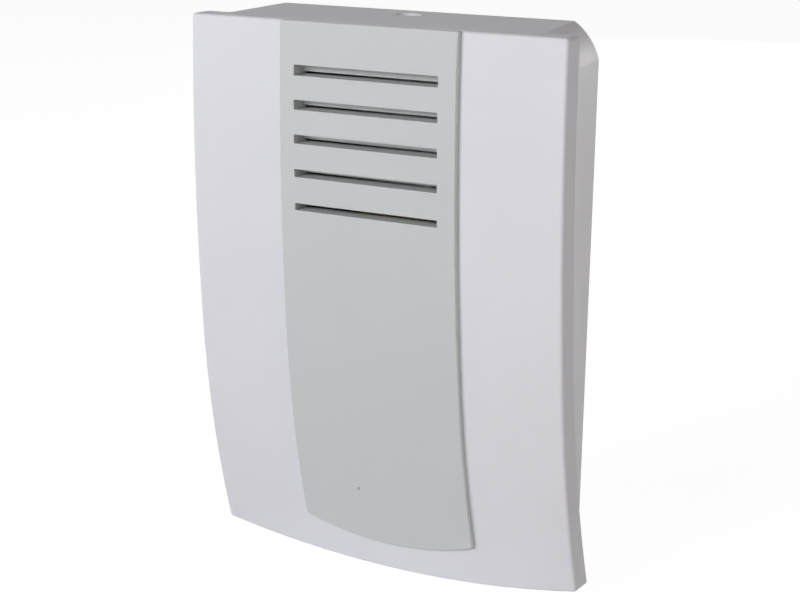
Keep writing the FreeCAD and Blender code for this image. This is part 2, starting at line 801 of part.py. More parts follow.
def make_striker(side):
    core_left = striker_left + striker_stem_left_length()
    if side < 0:
        tip, shoulder = striker_left, core_left - fit_gap
    else:
        tip, shoulder = striker_right, core_left + plunger_length + fit_gap
    direction = 1 if tip < shoulder else -1

    def section(start, end, radius):
        return rod_x(min(start, end), max(start, end), solenoid_out, solenoid_z, radius)

    head = section(tip, tip + direction * striker_head_length, striker_head_radius)
    face = [e for e in head.Edges if abs(e.BoundBox.XMin - tip) < 0.001
            and e.BoundBox.XLength < 0.001]
    head = head.makeFillet(striker_dome_rounding, face)
    stem = section(tip + direction * striker_head_length / 2, shoulder, striker_stem_radius)
    spigot = section(shoulder - direction * 1.0, shoulder + direction * striker_spigot_length,
                     striker_spigot_radius)
    return single(head.fuse(stem).fuse(spigot))


spring_cap_x0 = striker_left + striker_head_length + fit_gap
spring_cap_x1 = spring_cap_x0 + spring_cap_thickness


def make_spring_cap():
    cap = rod_x(spring_cap_x0, spring_cap_x1, solenoid_out, solenoid_z, spring_cap_radius)
    return cap.cut(rod_x(spring_cap_x0 - over, spring_cap_x1 + over, solenoid_out, solenoid_z,
                         striker_stem_radius + fit_gap))


def arc_from(start, heading, end):
    """Arc that leaves start along heading and reaches end."""
    chord = end.sub(start)
    length = chord.Length
    unit = V(chord).normalize()
    across = heading.sub(V(unit).multiply(heading.dot(unit)))
    angle = math.atan2(across.Length, heading.dot(unit))
    middle = start.add(V(chord).multiply(0.5))
    middle = middle.add(V(across).normalize().multiply(length / 2 * math.tan(angle / 2)))
    return Part.Arc(start, middle, end).toShape()


def biarc(start, heading0, end, heading1):
    """Two arcs that join smoothly and keep the headings at both ends."""
    span = end.sub(start)
    total = heading0.add(heading1)
    a = 2 * (1 - heading0.dot(heading1))
    b = 2 * span.dot(total)
    c = -span.dot(span)
    reach = (-b + math.sqrt(b * b - 4 * a * c)) / (2 * a)
    middle = start.add(end).add(heading0.sub(heading1).multiply(reach)).multiply(0.5)
    knee = start.add(V(heading0).multiply(reach))
    turn = middle.sub(knee).normalize()
    return [arc_from(start, heading0, middle), arc_from(middle, turn, end)]


def make_return_spring():
    """Helix round the plunger between the yoke's left ear and the spring cap."""
    x_start = -ear_outer - spring_end_gap - spring_wire - spring_end_bend
    x_end = spring_cap_x1 + spring_end_gap + spring_wire + spring_end_bend
    pitch = (x_end - x_start) / spring_turns
    rise = pitch / (2 * math.pi)

    def at(angle):
        return V(x_start + rise * angle,
                 -solenoid_out + spring_radius * math.cos(angle),
                 solenoid_z + spring_radius * math.sin(angle))

    def heading(angle):
        return V(rise, -spring_radius * math.sin(angle), spring_radius * math.cos(angle)).normalize()

    def bend(point, direction, final):
        """Tangent arc that turns direction into final, with its end point."""
        across = final.sub(V(direction).multiply(final.dot(direction))).normalize()
        angle = math.acos(final.dot(direction))
        radius = spring_end_bend / math.sin(angle)

        def on_arc(part):
            return point.add(V(direction).multiply(radius * math.sin(part))).add(
                V(across).multiply(radius * (1 - math.cos(part))))

        return Part.Arc(on_arc(angle), on_arc(angle / 2), point).toShape(), on_arc(angle)

    towards_ear = V(1, 0, 0)
    towards_cap = V(-1, 0, 0)
    first_bend, first_foot = bend(at(0), heading(0).multiply(-1), towards_ear)
    last_angle = 2 * math.pi * spring_turns
    last_bend, last_foot = bend(at(last_angle), heading(last_angle), towards_cap)
    ear_foot = first_foot.add(V(towards_ear).multiply(spring_wire))
    cap_foot = last_foot.add(V(towards_cap).multiply(spring_wire))
    edges = [Part.LineSegment(ear_foot, first_foot).toShape(), first_bend]
    for n in range(4 * spring_turns):
        a0 = n * math.pi / 2
        a1 = a0 + math.pi / 2
        edges.extend(biarc(at(a0), heading(a0), at(a1), heading(a1)))
    edges.append(last_bend)
    edges.append(Part.LineSegment(last_foot, cap_foot).toShape())
    wire = Part.Wire(Part.__sortEdges__(edges))
    solid = sweep_round(wire, spring_wire / 2, ear_foot, towards_ear)
    report_tube("return_spring", solid, wire, spring_wire / 2)
    report_gap("return_spring", wire, spring_wire, math.pi * spring_radius)
    return solid


def sweep_round(wire, radius, start, heading):
    profile = Part.Wire(Part.Circle(start, heading, radius).toShape())
    shape = wire.makePipeShell([profile], True, False)
    return shape.Solids[0]


def report_tube(name, solid, wire, radius):
    expected = math.pi * radius ** 2 * wire.Length
    print(name, "length", round(wire.Length, 2), "volume", round(solid.Volume, 3),
          "of", round(expected, 3))


def report_gap(name, wire, diameter, apart):
    """Least gap between turns, measured on points along the wire."""
    step = 0.5
    points = wire.discretize(Distance=step)
    skip = int(apart / step)
    least = min(points[i].distanceToPoint(points[j])
                for i in range(len(points)) for j in range(i + skip, len(points)))
    print(name, "least gap", round(least - diameter, 3))


def make_tone_plate(side, length):
    x0, x1 = between_x(side, tone_face, tone_face + tone_plate_thickness)
    out = tone_plate_out()
    plate = box(x0, x1, out - tone_plate_width / 2, out + tone_plate_width / 2,
                solenoid_z - length / 2, solenoid_z + length / 2)
    corners = [e for e in plate.Edges if e.BoundBox.XLength > 0.9 * tone_plate_thickness]
    plate = plate.makeFillet(tone_plate_rounding, corners)
    for z in nodal_heights(length):
        plate = plate.cut(rod_x(x0 - over, x1 + over, out, z, plate_hole_radius))
    return single(plate)


def tone_plate_out():
    return solenoid_out


def make_plate_grommet(side, z):
    x0, x1 = between_x(side, tone_face - grommet_flange_thickness - fit_gap,
                       tone_face + tone_plate_thickness + grommet_flange_thickness + fit_gap)
    g0, g1 = between_x(side, tone_face - fit_gap, tone_face + tone_plate_thickness + fit_gap)
    out = tone_plate_out()
    body = rod_x(x0, x1, out, z, grommet_flange_radius)
    groove = rod_x(g0, g1, out, z, grommet_flange_radius + over)
    groove = groove.cut(rod_x(g0 - over, g1 + over, out, z, plate_hole_radius - fit_gap))
    body = body.cut(groove)
    return single(body.cut(rod_x(x0 - over, x1 + over, out, z, plate_pin_radius + fit_gap)))


def plate_pin_end():
    """How far from the middle the inner end of a plate pin lies."""
    return tone_face - grommet_flange_thickness - 3 * fit_gap - 2 * retainer_thickness


def make_plate_pin(side, z):
    x0, x1 = between_x(side, plate_pin_end(), post_face + plate_pin_grip - fit_gap)
    return rod_x(x0, x1, tone_plate_out(), z, plate_pin_radius)


def make_plate_retainer(side, z):
    outer = tone_face - grommet_flange_thickness - 2 * fit_gap
    x0, x1 = between_x(side, outer - retainer_thickness, outer)
    disc = rod_x(x0, x1, tone_plate_out(), z, retainer_radius)
    return disc.cut(rod_x(x0 - over, x1 + over, tone_plate_out(), z, plate_pin_radius + press_gap))


def make_terminal_block():
    half_height = terminal_body_height / 2
    block = box(-terminal_half, terminal_half, terminal_out, terminal_out + terminal_body_depth,
                terminal_z - half_height, terminal_z + half_height)
    top_edges = edges_at_out(block, terminal_out + terminal_body_depth)
    block = block.makeFillet(terminal_rounding, top_edges)
    lug = box(-terminal_half - terminal_lug, terminal_half + terminal_lug, terminal_out,
              terminal_out + terminal_lug_depth, terminal_z - terminal_lug_height / 2,
              terminal_z + terminal_lug_height / 2)
    corners = [e for e in lug.Edges if is_along_y(e)]
    block = block.fuse(lug.makeFillet(terminal_lug_rounding, corners))
    for x in terminal_x:
        block = block.cut(box(x - terminal_tunnel_width / 2, x + terminal_tunnel_width / 2,
                              terminal_out + terminal_tunnel_floor,
                              terminal_out + terminal_tunnel_floor + terminal_tunnel_depth,
                              terminal_z - half_height - over, terminal_z + half_height + over))
        block = block.cut(rod_out(x, terminal_z, terminal_well_radius,
                                  terminal_out + terminal_tunnel_floor,
                                  terminal_out + terminal_body_depth + over))
    for x in [a + terminal_pitch / 2 for a in terminal_x[:-1]]:
        for side in (-1, 1):
            z = terminal_z + side * half_height
            block = block.cut(box(x - terminal_groove / 2, x + terminal_groove / 2,
                                  terminal_out - over, terminal_out + 2 * terminal_body_depth,
                                  z - terminal_groove, z + terminal_groove))
    for x, z in terminal_fixings:
        block = block.cut(rod_out(x, z, screw_radius + 2 * fit_gap, 0,
                                  terminal_out + terminal_lug_depth + over))
    return single(block)


def terminal_clamp_range():
    floor = terminal_out + terminal_tunnel_floor + terminal_clamp_gap
    return floor, floor + terminal_tunnel_depth - 2 * terminal_clamp_gap


def terminal_wire_out():
    """Distance from the wall of the wire holes through the clamps."""
    return terminal_clamp_range()[0] + terminal_clamp_floor + terminal_wire_radius


def terminal_screw_tip():
    return terminal_wire_out() + terminal_wire_radius + fit_gap


def make_terminal_clamp(x):
    out0, out1 = terminal_clamp_range()
    half = terminal_tunnel_width / 2 - terminal_clamp_gap
    reach = terminal_body_height / 2 - terminal_clamp_inset
    cage = box(x - half, x + half, out0, out1, terminal_z - reach, terminal_z + reach)
    cage = cage.cut(rod_z(x, terminal_wire_out(), terminal_z - reach - over,
                          terminal_z + reach + over, terminal_wire_radius))
    return single(cage.cut(rod_out(x, terminal_z, terminal_screw_radius + fit_gap,
                                   terminal_wire_out(), out1 + over)))


def make_terminal_screw(x):
    seat = terminal_clamp_range()[1] + terminal_screw_raise
    top = seat + terminal_screw_head_height
    head = rod_out(x, terminal_z, terminal_screw_head_radius, seat, top)
    body = head.fuse(rod_out(x, terminal_z, terminal_screw_radius, terminal_screw_tip(), seat))
    slot = box(x - 2 * terminal_screw_head_radius, x + 2 * terminal_screw_head_radius,
               top - recess_depth, top + over, terminal_z - recess_width / 2,
               terminal_z + recess_width / 2)
    return single(body.cut(slot))


def grommet_neck_radius():
    return cable_entry_radius + grommet_neck_wall


def make_cable_grommet():
    neck = rod_out(0, cable_entry_z, grommet_neck_radius(), grommet_base_gap,
                   base_thickness + fit_gap)
    flange = rod_out(0, cable_entry_z, grommet_neck_radius() + grommet_flange_reach,
                     base_thickness + fit_gap, base_thickness + fit_gap + cable_grommet_flange)
    top = base_thickness + fit_gap + cable_grommet_flange
    flange = flange.makeFillet(cable_grommet_rounding, edges_at_out(flange, top))
    body = neck.fuse(flange)
    return single(body.cut(rod_out(0, cable_entry_z, cable_entry_radius, -over, top + over)))


def make_cable_clamp():
    """Saddle that holds the bell cable, with a foot on each side and ribs inside."""
    seat = base_thickness + clamp_seat
    reach = clamp_screw_spacing / 2 + clamp_width / 2
    throat = cable_entry_radius + clamp_throat_clearance
    ceiling = base_thickness + clamp_throat_height
    crown = ceiling + clamp_crown_thickness
    z0 = clamp_z - clamp_width / 2
    z1 = clamp_z + clamp_width / 2
    feet = box(-reach, reach, seat, seat + clamp_foot_thickness, z0, z1)
    feet = feet.makeFillet(clamp_foot_rounding, [e for e in feet.Edges if is_along_y(e)])
    arch = box(-throat - clamp_leg_thickness, throat + clamp_leg_thickness, seat, crown, z0, z1)
    ridges = [e for e in edges_at_out(arch, crown) if e.BoundBox.XLength < 0.001]
    arch = arch.makeFillet(clamp_crown_rounding, ridges)
    saddle = feet.fuse(arch).cut(box(-throat, throat, 0, ceiling, z0 - over, z1 + over))
    for side in (-1, 1):
        z = clamp_z + side * clamp_width / 4
        saddle = saddle.fuse(box(-throat, throat, ceiling - clamp_rib_height,
                                 ceiling + clamp_crown_thickness / 2,
                                 z - clamp_rib_width / 2, z + clamp_rib_width / 2))
    for x, z in clamp_screws:
        saddle = saddle.cut(rod_out(x, z, screw_radius + 2 * fit_gap, 0,
                                    seat + clamp_foot_thickness + over))
    return single(saddle)


def lead_route(side):
    """Points of a coil lead, from the solder pin down to its terminal, chosen by hand."""
    pin_x, pin_z = coil_pin_ends()[1]
    end_x = abs(terminal_x[0])
    end_z = terminal_z + terminal_body_height / 2 - terminal_clamp_inset + fit_gap
    clamp_out = terminal_wire_out()
    beside_x = clamp_screw_spacing / 2 + clamp_width / 2 + lead_radius + lead_side_gap
    beside_out = clamp_out + lead_rise_over_clamp
    drop = pin_z - end_z
    route = [
        (pin_x, coil_pin_out, pin_z),
        (pin_x, coil_pin_out, pin_z - 0.20 * drop),
        (beside_x + lead_side_gap, beside_out + lead_rise_over_clamp, pin_z - 0.46 * drop),
        (beside_x, beside_out, pin_z - 0.74 * drop),
        (end_x, clamp_out, pin_z - 0.90 * drop),
        (end_x, clamp_out, end_z),
    ]
    return [place(side * x, out, z) for x, out, z in route]


def make_lead(side):
    points = lead_route(side)
    edges = []
    radii = []
    start = points[0]
    for before, corner, after in zip(points, points[1:], points[2:]):
        back = before.sub(corner)
        ahead = after.sub(corner)
        shorter = min(back.Length, ahead.Length)
        turn = math.pi - back.getAngle(ahead)
        trim = lead_arc_share * shorter
        radius = trim / math.tan(turn / 2)
        radii.append(round(radius, 1))
        first = corner.add(V(back).normalize().multiply(trim))
        last = corner.add(V(ahead).normalize().multiply(trim))
        centre_way = V(back).normalize().add(V(ahead).normalize()).normalize()
        depth = radius / math.cos(turn / 2) - radius
        edges.append(Part.LineSegment(start, first).toShape())
        edges.append(Part.Arc(first, corner.add(centre_way.multiply(depth)), last).toShape())
        start = last
    edges.append(Part.LineSegment(start, points[-1]).toShape())
    wire = Part.Wire(edges)
    heading = points[1].sub(points[0]).normalize()
    solid = sweep_round(wire, lead_radius, points[0], heading)
    report_tube("lead", solid, wire, lead_radius)
    print("lead arc radii", radii)
    return solid


def report_motions():
    """Where the moving pieces turn and how far they go."""
    print("cover slides out", cover_travel)
    print("plunger slides from", strike_clearance - strike_gap_left, "to",
          strike_gap_right - strike_clearance, "on the line through",
          [0, -solenoid_out, round(solenoid_z, 3)])
    print("latch turns", latch_swing_deg, "degrees about",
          [round(latch_root_x, 3), -latch_nose_out, round(latch_root_z, 3)])


def build():
    os.makedirs("parts", exist_ok=True)
    whole_cover = cover_moulding()
    save("cover_shell", make_cover_shell(whole_cover))
    save("cover_skirt", make_cover_skirt(whole_cover))
    save("front_panel", make_front_panel())
    save("panel_clips", *make_panel_clips())

    save("base_plate", make_base_plate())
    save("plate_posts", *[make_plate_post(side, z) for side, z in mount_points])
    save("latch_bracket", make_latch_bracket())
    save("cover_latch", make_cover_latch())

    save("solenoid_yoke", make_yoke())
    seat = base_thickness + solenoid_seat + yoke_thickness
    save("yoke_screws", *[screw(x, z, seat) for x, z in yoke_screws])
    save("coil_bobbin", make_bobbin())
    save("coil_winding", make_ring_x(winding_inner, winding_outer, winding_half))
    save("winding_tape", make_ring_x(winding_outer + fit_gap,
                                     winding_outer + fit_gap + tape_thickness,
                                     winding_half - tape_margin))
    save("coil_pins", *[rod_z(x, coil_pin_out, z, coil_pin_top() - fit_gap, coil_pin_radius)
                        for x, z in coil_pin_ends()])

    save("plunger_core", make_plunger_core())
    save("striker_tip_left", make_striker(-1))
    save("striker_tip_right", make_striker(1))
    save("spring_cap", make_spring_cap())
    save("return_spring", make_return_spring())

    for side, length, name in tone_plates:
        save(name, make_tone_plate(side, length))
    save("plate_grommets", *[make_plate_grommet(side, z) for side, z in mount_points])
    save("plate_pins", *[make_plate_pin(side, z) for side, z in mount_points])
    save("plate_retainers", *[make_plate_retainer(side, z) for side, z in mount_points])

    save("terminal_block", make_terminal_block())
    save("terminal_clamps", *[make_terminal_clamp(x) for x in terminal_x])
    save("terminal_screws", *[make_terminal_screw(x) for x in terminal_x])
    save("terminal_fixing_screws", *[screw(x, z, terminal_out + terminal_lug_depth)
                                     for x, z in terminal_fixings])
    save("cable_grommet", make_cable_grommet())
    save("cable_clamp", make_cable_clamp())
    foot_top = base_thickness + clamp_seat + clamp_foot_thickness
    save("cable_clamp_screws", *[screw(x, z, foot_top) for x, z in clamp_screws])
    save("coil_lead_left", make_lead(-1))
    save("coil_lead_right", make_lead(1))
    report_motions()


build()
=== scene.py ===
"""Looks of the two-tone door chime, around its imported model. Metres, in the model's own frame."""
import json
import math

import bpy
from mathutils import Matrix, Vector


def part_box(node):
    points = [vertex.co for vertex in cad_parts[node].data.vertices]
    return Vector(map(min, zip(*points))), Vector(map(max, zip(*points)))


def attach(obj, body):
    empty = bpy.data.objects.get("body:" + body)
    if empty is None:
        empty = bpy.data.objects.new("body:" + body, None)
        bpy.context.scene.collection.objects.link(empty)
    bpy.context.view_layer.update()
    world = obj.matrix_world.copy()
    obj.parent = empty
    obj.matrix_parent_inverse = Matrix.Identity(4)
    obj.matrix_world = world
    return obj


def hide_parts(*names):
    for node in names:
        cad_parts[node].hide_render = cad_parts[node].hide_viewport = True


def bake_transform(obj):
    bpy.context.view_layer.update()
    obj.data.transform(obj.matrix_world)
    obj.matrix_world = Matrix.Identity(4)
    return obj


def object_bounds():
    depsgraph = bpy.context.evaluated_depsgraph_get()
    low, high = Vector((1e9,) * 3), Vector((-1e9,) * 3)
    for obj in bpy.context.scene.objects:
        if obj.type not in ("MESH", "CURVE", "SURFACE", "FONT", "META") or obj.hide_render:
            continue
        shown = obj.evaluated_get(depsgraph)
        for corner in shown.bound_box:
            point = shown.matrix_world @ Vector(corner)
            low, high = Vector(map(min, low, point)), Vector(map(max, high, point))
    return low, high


MM = 0.001

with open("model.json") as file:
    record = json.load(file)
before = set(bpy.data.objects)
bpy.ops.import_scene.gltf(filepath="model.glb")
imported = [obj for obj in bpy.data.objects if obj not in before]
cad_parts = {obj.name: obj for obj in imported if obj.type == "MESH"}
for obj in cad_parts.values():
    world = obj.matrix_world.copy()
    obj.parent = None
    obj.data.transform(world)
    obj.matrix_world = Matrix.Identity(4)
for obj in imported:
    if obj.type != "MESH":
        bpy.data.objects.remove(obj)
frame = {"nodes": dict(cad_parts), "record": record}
cad_low, cad_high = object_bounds()
nodes = frame["nodes"]


# Camera, fitted to the photograph: where it stands, its heading, its tilt down and its roll
CAMERA_PLACE = Vector((0.29583, -0.51980, 0.15019))
CAMERA_AZIMUTH = math.radians(30.3151)
CAMERA_TILT = math.radians(14.2516)
CAMERA_ROLL = math.radians(0.2852)
CAMERA_LENS_MM = 86.32
SENSOR_WIDTH_MM = 36.0
NEAREST_SEEN = 0.01
FARTHEST_SEEN = 20.0


def make_camera():
    forward = Vector((-math.sin(CAMERA_AZIMUTH) * math.cos(CAMERA_TILT),
                      math.cos(CAMERA_AZIMUTH) * math.cos(CAMERA_TILT),
                      -math.sin(CAMERA_TILT)))
    level = forward.cross(Vector((0, 0, 1))).normalized()
    upright = level.cross(forward)
    right = level * math.cos(CAMERA_ROLL) + upright * math.sin(CAMERA_ROLL)
    up = upright * math.cos(CAMERA_ROLL) - level * math.sin(CAMERA_ROLL)
    data = bpy.data.cameras.new("camera")
    data.lens = CAMERA_LENS_MM
    data.sensor_width = SENSOR_WIDTH_MM
    data.clip_start = NEAREST_SEEN
    data.clip_end = FARTHEST_SEEN
    camera = bpy.data.objects.new("camera", data)
    bpy.context.scene.collection.objects.link(camera)
    rotation = Matrix((right, up, -forward)).transposed().to_4x4()
    camera.matrix_world = Matrix.Translation(CAMERA_PLACE) @ rotation
    bpy.context.scene.camera = camera


# Studio: three soft boxes that aim at the origin, which is in the middle of the object's back
KEY_PLACE = (-0.45, -1.31, 0.50)
KEY_SIZE = (1.2, 0.5)
KEY_POWER = 15.5
KEY_COLOUR = (0.965, 0.98, 1.0)
FILL_PLACE = (1.35, -0.20, 0.30)
FILL_SIZE = (0.8, 0.5)
FILL_POWER = 3.7
FILL_COLOUR = (1.0, 0.97, 0.93)
BACK_PLACE = (-0.05, 1.5, 0.08)
BACK_SIZE = (0.4, 0.25)
BACK_POWER = 5.0
BACK_COLOUR = (1, 1, 1)

# Room: its light fades from the horizon to FADE_TOP, the z of a direction, and grows warmer overhead
ROOM_LIGHT = 0.43
CEILING_LIGHT = 0.05
FADE_TOP = 0.5
HORIZON_COLOUR = (0.97, 0.985, 1.0)
OVERHEAD_COLOUR = (1.0, 0.70, 0.52)
BACKGROUND_COLOUR = (1, 1, 1)

# Floor: a white sheet whose glow hides all but a share of its shadows from the camera
FLOOR_GLOW = 1.30
FLOOR_SHADE = 0.28
FLOOR_PAPER = (0.88, 0.88, 0.88)
FLOOR_HALF_WIDTH = 6.0
FLOOR_GAP = 0.2 * MM


def make_lamp(name, place, size, power, colour):
    data = bpy.data.lights.new(name, "AREA")
    data.shape = "RECTANGLE"
    data.size, data.size_y = size
    data.energy = power
    data.color = colour
    lamp = bpy.data.objects.new(name, data)
    bpy.context.scene.collection.objects.link(lamp)
    lamp.location = place
    lamp.rotation_euler = (-lamp.location).to_track_quat("-Z", "Y").to_euler()


def background_share(tree):
    """Value that is 1 for what the camera, a mirror or glass sees directly."""
    path = tree.nodes.new("ShaderNodeLightPath")
    first = tree.nodes.new("ShaderNodeMath")
    first.operation = "MAXIMUM"
    tree.links.new(path.outputs["Is Camera Ray"], first.inputs[0])
    tree.links.new(path.outputs["Is Glossy Ray"], first.inputs[1])
    second = tree.nodes.new("ShaderNodeMath")
    second.operation = "MAXIMUM"
    tree.links.new(first.outputs[0], second.inputs[0])
    tree.links.new(path.outputs["Is Transmission Ray"], second.inputs[1])
    return second.outputs[0]


def make_world():
    """Room light that fades from the horizon to the ceiling, with a white background."""
    world = bpy.data.worlds.new("studio")
    bpy.context.scene.world = world
    world.use_nodes = True
    tree = world.node_tree
    tree.nodes.clear()
    direction = tree.nodes.new("ShaderNodeTexCoord")
    parts = tree.nodes.new("ShaderNodeSeparateXYZ")
    fade = tree.nodes.new("ShaderNodeMapRange")
    fade.inputs["From Min"].default_value = 0.0
    fade.inputs["From Max"].default_value = FADE_TOP
    fade.inputs["To Min"].default_value = ROOM_LIGHT
    fade.inputs["To Max"].default_value = CEILING_LIGHT
    lighting = tree.nodes.new("ShaderNodeBackground")
    tone = tree.nodes.new("ShaderNodeMix")
    tone.data_type = "RGBA"
    tone.inputs["A"].default_value = (*HORIZON_COLOUR, 1)
    tone.inputs["B"].default_value = (*OVERHEAD_COLOUR, 1)
    seen = tree.nodes.new("ShaderNodeBackground")
    seen.inputs["Strength"].default_value = 1.0
    seen.inputs["Color"].default_value = (*BACKGROUND_COLOUR, 1)
    mix = tree.nodes.new("ShaderNodeMixShader")
    out = tree.nodes.new("ShaderNodeOutputWorld")
    tree.links.new(direction.outputs["Generated"], parts.inputs[0])
    tree.links.new(parts.outputs["Z"], fade.inputs["Value"])
    tree.links.new(fade.outputs["Result"], lighting.inputs["Strength"])
    tree.links.new(parts.outputs["Z"], tone.inputs["Factor"])
    tree.links.new(tone.outputs["Result"], lighting.inputs["Color"])
    tree.links.new(background_share(tree), mix.inputs["Fac"])
    tree.links.new(lighting.outputs[0], mix.inputs[1])
    tree.links.new(seen.outputs[0], mix.inputs[2])
    tree.links.new(mix.outputs[0], out.inputs["Surface"])


def floor_material():
    """Matt paper for the light of the room, mostly a white glow for the camera."""
    material = bpy.data.materials.new("floor_white")
    material.use_nodes = True
    tree = material.node_tree
    tree.nodes.clear()
    paper = tree.nodes.new("ShaderNodeBsdfDiffuse")
    paper.inputs["Color"].default_value = (*FLOOR_PAPER, 1)
    glow = tree.nodes.new("ShaderNodeEmission")
    glow.inputs["Strength"].default_value = FLOOR_GLOW
    part = tree.nodes.new("ShaderNodeMath")
    part.operation = "MULTIPLY"
    part.inputs[1].default_value = 1.0 - FLOOR_SHADE
    tree.links.new(background_share(tree), part.inputs[0])
    mix = tree.nodes.new("ShaderNodeMixShader")
    out = tree.nodes.new("ShaderNodeOutputMaterial")
    tree.links.new(part.outputs[0], mix.inputs["Fac"])
    tree.links.new(paper.outputs[0], mix.inputs[1])
    tree.links.new(glow.outputs[0], mix.inputs[2])
    tree.links.new(mix.outputs[0], out.inputs["Surface"])
    return material


def make_floor():
    """White floor just under the object, with a soft shadow on it."""
    height = cad_low.z - FLOOR_GAP
    half = FLOOR_HALF_WIDTH
    mesh = bpy.data.meshes.new("floor")
    corners = [(-half, -half, height), (half, -half, height), (half, half, height),
               (-half, half, height)]
    mesh.from_pydata(corners, [], [(0, 1, 2, 3)])
    floor = bpy.data.objects.new("floor", mesh)
    bpy.context.scene.collection.objects.link(floor)
    mesh.materials.append(floor_material())


def make_studio():
    make_world()
    make_floor()
    make_lamp("key_box", KEY_PLACE, KEY_SIZE, KEY_POWER, KEY_COLOUR)
    make_lamp("fill_box", FILL_PLACE, FILL_SIZE, FILL_POWER, FILL_COLOUR)
    make_lamp("back_box", BACK_PLACE, BACK_SIZE, BACK_POWER, BACK_COLOUR)
    bpy.context.scene.view_settings.view_transform = "Standard"


# Length of one band of Blender's wave texture at a scale of 1
WAVE_LENGTH = 0.314


class Surface:
    """A principled material whose texture nodes read the object's own coordinates."""

    def __init__(self, name, colour, roughness, metallic=0.0, **settings):
        self.material = bpy.data.materials.new(name)
        self.material.use_nodes = True
        self.tree = self.material.node_tree
        self.shader = self.tree.nodes["Principled BSDF"]
        self.shader.inputs["Base Color"].default_value = (*colour, 1)
        self.shader.inputs["Roughness"].default_value = roughness
        self.shader.inputs["Metallic"].default_value = metallic
        for key, value in settings.items():
            self.shader.inputs[key.replace("_", " ")].default_value = value
        self.normal = None

    def node(self, kind, **settings):
        made = self.tree.nodes.new(kind)
        for key, value in settings.items():
            setattr(made, key, value)
        return made

    def link(self, source, target):
        self.tree.links.new(source, target)

    def place(self, stretch=(1, 1, 1)):
        """The object's coordinates, stretched along its axes."""
        coordinates = self.node("ShaderNodeTexCoord")
        mapping = self.node("ShaderNodeMapping")
        mapping.inputs["Scale"].default_value = stretch
        self.link(coordinates.outputs["Object"], mapping.inputs["Vector"])
        return mapping.outputs["Vector"]

    def noise(self, size, detail=2.0, stretch=(1, 1, 1)):
        """Noise whose grains are about size metres across."""
        made = self.node("ShaderNodeTexNoise")
        made.inputs["Scale"].default_value = 1.0 / size
        made.inputs["Detail"].default_value = detail
        self.link(self.place(stretch), made.inputs["Vector"])
        return made.outputs["Fac"]

    def cells(self, size):
        """Distance to the nearest of scattered points about size metres apart."""
        made = self.node("ShaderNodeTexVoronoi")
        made.inputs["Scale"].default_value = 1.0 / size
        self.link(self.place(), made.inputs["Vector"])
        return made.outputs["Distance"]

    def bands(self, size, axis, wander=0.0):
        """Bands along an axis, size metres from one to the next."""
        made = self.node("ShaderNodeTexWave", wave_type="BANDS", bands_direction=axis)
        made.inputs["Scale"].default_value = WAVE_LENGTH / size
        made.inputs["Distortion"].default_value = wander
        self.link(self.place(), made.inputs["Vector"])
        return made.outputs["Fac"]

    def ramp(self, source, low, high, start=0.3, end=0.7):
        """Value from low to high as source goes from start to end."""
        made = self.node("ShaderNodeMapRange")
        made.inputs["From Min"].default_value = start
        made.inputs["From Max"].default_value = end
        made.inputs["To Min"].default_value = low
        made.inputs["To Max"].default_value = high
        self.link(source, made.inputs["Value"])
        return made.outputs["Result"]

    def blended(self, source, low, high, start=0.3, end=0.7):
        """Colour from low, a colour or another node's output, to the colour high."""
        made = self.node("ShaderNodeMix", data_type="RGBA")
        if isinstance(low, tuple):
            made.inputs["A"].default_value = (*low, 1)
        else:
            self.link(low, made.inputs["A"])
        made.inputs["B"].default_value = (*high, 1)
        self.link(self.ramp(source, 0.0, 1.0, start, end), made.inputs["Factor"])
        return made.outputs["Result"]

    def paint(self, colour):
        """Uses a node's colour output as the base colour."""
        self.link(colour, self.shader.inputs["Base Color"])

    def tint(self, source, low, high, start=0.3, end=0.7):
        """Base colour that goes from low to high with source."""
        self.paint(self.blended(source, low, high, start, end))

    def vary_roughness(self, source, low, high):
        self.link(self.ramp(source, low, high), self.shader.inputs["Roughness"])

    def bump(self, source, height, strength=1.0):
        """Adds relief of about height metres over what is there already."""
        made = self.node("ShaderNodeBump")
        made.inputs["Strength"].default_value = strength
        made.inputs["Distance"].default_value = height
        self.link(source, made.inputs["Height"])
        if self.normal:
            self.link(self.normal, made.inputs["Normal"])
        self.normal = made.outputs["Normal"]
        self.link(self.normal, self.shader.inputs["Normal"])

    def larger(self, first, second):
        made = self.node("ShaderNodeMath", operation="MAXIMUM")
        self.link(first, made.inputs[0])
        self.link(second, made.inputs[1])
        return made.outputs[0]

    def discs(self, places, radius, edge):
        """Value that is 1 inside round marks at places, each an (x, z) pair, and fades over their edge."""
        total = None
        for x, z in places:
            mapping = self.node("ShaderNodeMapping", vector_type="POINT")
            mapping.inputs["Location"].default_value = (-x, 0, -z)
            mapping.inputs["Scale"].default_value = (1, 0, 1)
            coordinates = self.node("ShaderNodeTexCoord")
            self.link(coordinates.outputs["Object"], mapping.inputs["Vector"])
            length = self.node("ShaderNodeVectorMath", operation="LENGTH")
            self.link(mapping.outputs["Vector"], length.inputs[0])
            mark = self.ramp(length.outputs["Value"], 1.0, 0.0, radius - edge, radius + edge)
            total = mark if total is None else self.larger(total, mark)
        return total


# Plastics
WHITE = (0.700, 0.702, 0.735)
GREY = (0.554, 0.561, 0.563)
BASE = (0.66, 0.665, 0.665)
TERMINAL = (0.66, 0.65, 0.60)

# Ejector pins of the base plate's mould: (x, z) in millimetres on the right half, mirrored on the left
EJECTOR_PINS = ((46, 76), (46, 20), (46, -40), (22, 40), (22, -68), (18, -8))
EJECTOR_PIN_RADIUS = 2.4 * MM
EJECTOR_PIN_EDGE = 0.15 * MM
EJECTOR_PIN_STEP = 0.15 * MM


def scaled(colour, share):
    return tuple(min(1.0, part * share) for part in colour)


